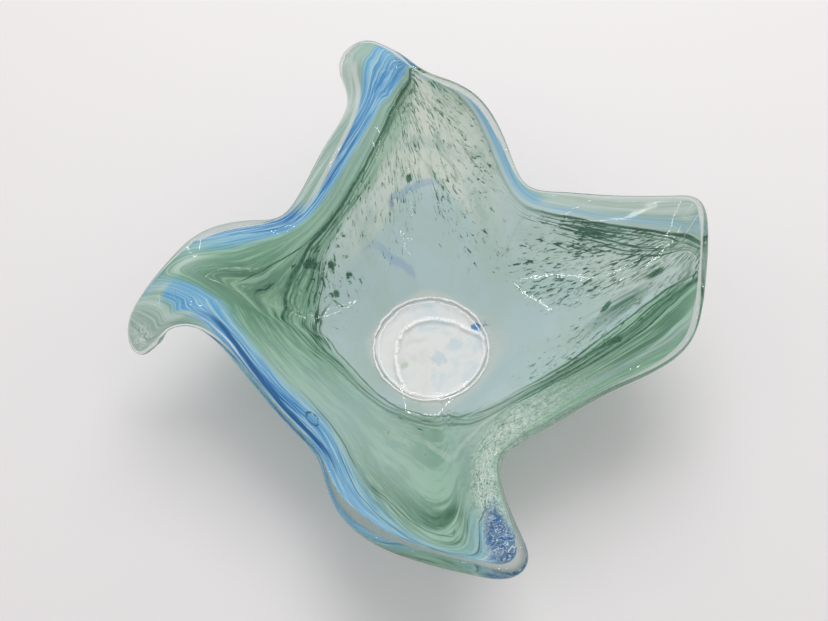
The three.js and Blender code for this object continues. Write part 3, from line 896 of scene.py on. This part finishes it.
def milk_and_bands(m):
    """The milky wall, its green, and the blue round the rim."""
    drift = m.fanned(6, 15, 5, 0.66, 0.9)
    leaf = m.mix(m.band(m.streak, 0.42, 0.58), "#6b9f7f", "#a2c9ae")
    sky = m.mix(m.band(m.fine, 0.38, 0.64), "#5aaee2", "#bce2f4")
    sky = m.coats(sky, (m.times("deep", m.band(m.fine, 0.55, 0.44)), "#1f74bc"),
                  (m.times(m.band(m.hair, 0.38, 0.30), 0.5), "#3d7fb0"))
    nose = m.mix(m.band(m.streak, 0.4, 0.6), "#a2c0b2", "#d2e3dd")
    milk = m.mix(m.band(m.cloud, 0.35, 0.65), "#c6dad4", "#cadfe2")
    return m.coats(
        milk,
        (m.times("warm", m.band(m.cloud, 0.3, 0.55)), "#eef2e8"),
        (m.times("ray", "warm", m.band(drift, 0.5, 0.64), 0.55), "#98b89e"),
        (m.times("green", m.band(m.streak, 0.2, 0.5)), leaf),
        (m.times("shade", m.band(m.streak, 0.62, 0.42)), "#48755a"),
        (m.times("blue", m.band(m.fine, 0.66, 0.52)), sky),
        ("nose", nose),
        (m.times("strip", 0.85), "#e3e8e2"))


def crackle_and_spots(m, tone):
    """Crackled white threads, blue spots, pale veils and drawn threads of blue."""
    squiggle = m.apart(m.worm, 0.5)
    strand = m.apart(m.pulled(5, 16, 3, 0.6, 1.2), 0.5)
    vein = m.apart(m.noise(m.where, 1 / 6, 3, 0.6, 1.6), 0.46)
    frosted = m.mix(m.band(m.patch, 0.42, 0.58), "#8cb29a", "#aeccb8")
    spot_core = m.band(m.blend((m.worm, 0.6), (m.grain, 0.4)), 0.5, 0.44)
    veil = m.most(m.thread("arc_blue", 2.4, 0.1, wave=0.6), m.thread("fall_blue", 2.6, 0.1, wave=0.6))
    return m.coats(
        tone,
        (m.times("glint", m.band(squiggle, 0.06, 0.02)), "#f4f8f6"),
        (m.times("crackle", 0.6), frosted),
        (m.times("crackle", m.band(vein, 0.035, 0.015), 0.9), "#3f7055"),
        (m.times("crackle", m.band(strand, 0.05, 0.025)), "#eaf4ec"),
        (m.times("crackle", m.band(squiggle, 0.02, 0.01)), "#e6efe6"),
        (m.times(m.band("spot", 0.1, 0.6), 0.85), "#5a80a4"),
        (m.times("spot", spot_core), "#2b6eb0"),
        (m.times("spot", m.band(squiggle, 0.03, 0.015)), "#dfe8ee"),
        (m.times("spot", m.band(vein, 0.03, 0.012)), "#1d4f86"),
        (m.times("pale", m.band(m.patch, 0.35, 0.5)), "#e6eae6"),
        (m.times(m.thread("low_white", 2.2, 0.1, wave=0.6), 0.3), "#e3ece8"),
        (m.times(veil, 0.4), "#8fb2dc"),
        (m.times(m.thread("core_pale", 0.8), 0.8), "#dbeaf4"),
        (m.times(m.thread("core_blue", 1.6, 0.1), 0.9), "#0f5a94"))


# Dark threads: name, half width in millimetres and strength.
DARK_THREADS = (("second_dark", 1.0, 1), ("third_dark", 0.8, 1), ("fourth_dark", 0.7, 1),
                ("branch_dark", 0.5, 1), ("edge_dark", 0.5, 0.75), ("low_dark", 0.6, 0.7),
                ("ring_dark", 0.7, 0.75))


def dark_marks(m, tone):
    """Dark streaks, chips, smears and threads of green, bluer where they cross the blue."""
    drawn_chips, fanned_chips = m.pulled(5.5, 9, 4, 0.66, 0.8), m.fanned(1.2, 4.8, 4, 0.66, 0.8)
    chips = m.node("ShaderNodeMix", {0: "ray", 2: drawn_chips, 3: fanned_chips}).outputs[0]
    dots, cluster = m.fanned(0.9, 2.2, 2, 0.6, 0.4), m.fanned(12, 22, 3, 0.6, 0.5)
    lumps = m.plus(chips, m.swing(cluster, 0.27))
    bubble_shade_ring = m.apart("bubble", 0.9)
    marks = [
        m.times("core", m.band(m.streak, 0.56, 0.42), 0.75),
        m.times(m.over(m.minus(1.0, m.streak), m.less(0.66, 0.16, "family")), m.band("family", 0.02, 0.3)),
        m.over(lumps, m.less(0.78, 0.24, "fleck")),
        m.times(m.over(m.plus(dots, m.swing(cluster, 0.2)), m.less(0.82, 0.17, "fleck")), 0.75),
        m.times(m.over(m.blend((chips, 0.5), ("smudge", 0.5)), 0.58, 0.1), m.band("smudge", 0.1, 0.4)),
        m.thread("crease", 1.15, 0.15),
        m.times(m.thread("crease", 0.5, 0.4, shift=2.3), 0.9),
        m.times(m.thread("crease", 0.45, 0.45, shift=4.3), 0.8),
        *(m.times(m.thread(name, half), strength) for name, half, strength in DARK_THREADS),
        # The bubble's outline: a painted dark ring that stands in for the shade thrown by refraction at its
        # wall.
        m.times(m.band(bubble_shade_ring, 0.24, 0.06), m.band(m.grain, 0.3, 0.6)),
    ]
    dark = marks[0]
    for mark in marks[1:]:
        dark = m.math("MAXIMUM", dark, mark, clamp=True)
    ink = m.mix(m.band(m.patch, 0.42, 0.58), "#174a3a", "#3a7557")
    ink = m.coats(ink, (m.times("blue", 0.6), "#1f4f7c"))
    halo = m.times(m.over(lumps, m.less(0.7, 0.24, "fleck"), 0.12), 0.4)
    return m.coats(tone, (halo, "#7fae8e"), (m.times(dark, 0.92), ink))


def coloured(name):
    """Milky glass with frit pulled along the flow."""
    m = Frit(name)
    tone = dark_marks(m, crackle_and_spots(m, milk_and_bands(m)))
    body = m.node("ShaderNodeBsdfPrincipled",
                  {"Base Color": tone, "Roughness": 0.7, "Specular IOR Level": 0.0}).outputs[0]
    back = m.node("ShaderNodeBsdfTranslucent", {"Color": tone}).outputs[0]
    return m.finish(m.blend_shaders(0.4, body, back))


# ---- pieces ----------------------------------------------------------
for obj in (colour, blue, green):
    paint(obj)

joint, thick_glass = fused_face(), casing_glass()
for obj, materials, node in ((lining, (inner_polish(), joint, milky_window()), "inner_lining"),
                             (casing, (thick_glass, joint), "clear_casing"),
                             (colour, (coloured("frit colour"), joint), "colour_layer"),
                             (blue, (coloured("blue trail"), joint), "blue_rim_trail"),
                             (green, (coloured("green trail"), joint), "green_rim_trail"),
                             (foot, (thick_glass, joint), "foot_pad")):
    for material in materials:
        obj.data.materials.append(material)
    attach(obj, "root")
    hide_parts(node)

# ---- floor and light -------------------------------------------------
scene = bpy.context.scene
TABLE_SIZE, TABLE_GRID = 8.0, 8
TABLE_DROP = 0.0002         # keeps the table just clear of the foot


def table():
    """A pale table under the bowl."""
    bpy.ops.mesh.primitive_grid_add(x_subdivisions=TABLE_GRID, y_subdivisions=TABLE_GRID, size=TABLE_SIZE,
                                    location=(0, 0, -TABLE_DROP))
    grid = bpy.context.object
    grid.name = "floor"
    m = Nodes("pale table")
    body = m.node("ShaderNodeBsdfPrincipled", {"Base Color": "#ece9e9", "Roughness": 0.7})
    grid.data.materials.append(m.finish(body.outputs[0]))
    return grid


floor = table()

TENT_COLOUR, TENT_LIGHT = (1.0, 0.99, 1.0, 1), 0.575
world = bpy.data.worlds.new("light tent")
world.use_nodes = True
tent = world.node_tree.nodes["Background"]
tent.inputs["Color"].default_value = TENT_COLOUR
tent.inputs["Strength"].default_value = TENT_LIGHT
scene.world = world


def area(name, where, size, power, size_y=None):
    """A white area lamp that faces the middle of the bowl's foot and stays out of the picture."""
    light = bpy.data.lights.new(name, "AREA")
    light.shape = "RECTANGLE"
    light.size, light.size_y = size, size_y or size
    light.energy = power
    obj = bpy.data.objects.new(name, light)
    obj.location = where
    obj.rotation_euler = (-Vector(where)).to_track_quat("-Z", "Y").to_euler()
    obj.visible_camera = False
    scene.collection.objects.link(obj)
    return obj


key = area("soft key", (0.1, 0.75, 1.1), 0.9, 8.2)
key.visible_glossy = key.visible_transmission = False

STRIP = 0.003               # width of a strip lamp
# Frames of strip lamps, each mirrored as a thin outline in the glass: middle, width, height, power.
STRIP_FRAMES = {"back strips": ((0.0, 0.56, 0.58), 0.22, 0.16, 0.06),
                "left strips": ((-0.55, -0.05, 0.6), 0.24, 0.24, 0.06),
                "right strips": ((0.6, -0.05, 0.45), 0.2, 0.2, 0.04)}


def strip_frame(name, middle, wide, high, power):
    """Four thin lamps round a rectangle that faces the bowl."""
    back = Vector(middle).normalized()
    side = Vector((-back.y, back.x, 0)).normalized()
    up = back.cross(side)
    turn = Matrix((side, up, back)).transposed().to_euler()
    edges = ((0, 1, wide, STRIP), (0, -1, wide, STRIP), (1, 0, STRIP, high), (-1, 0, STRIP, high))
    for k, (a, b, width, height) in enumerate(edges):
        where = Vector(middle) + side * a * wide / 2 + up * b * high / 2
        area(f"{name} {k}", where, width, power, height).rotation_euler = turn


for name, sizes in STRIP_FRAMES.items():
    strip_frame(name, *sizes)

# ---- camera ----------------------------------------------------------
SENSOR_WIDTH, LENS = 36, 44.57                  # millimetres
CAMERA_AT, CAMERA_TILT = (-0.00848, -0.23165, 0.4681), 29
camera = bpy.data.objects.new("camera", bpy.data.cameras.new("camera"))
camera.data.sensor_width, camera.data.lens = SENSOR_WIDTH, LENS
camera.location = CAMERA_AT
camera.rotation_euler = (math.radians(CAMERA_TILT), 0, 0)
scene.collection.objects.link(camera)
scene.camera = camera
scene.view_settings.view_transform = "Standard"
# Enough bounces for light to leave the layers of glass.
scene.cycles.transparent_max_bounces = 48
scene.cycles.transmission_bounces = 24
scene.cycles.max_bounces = 24
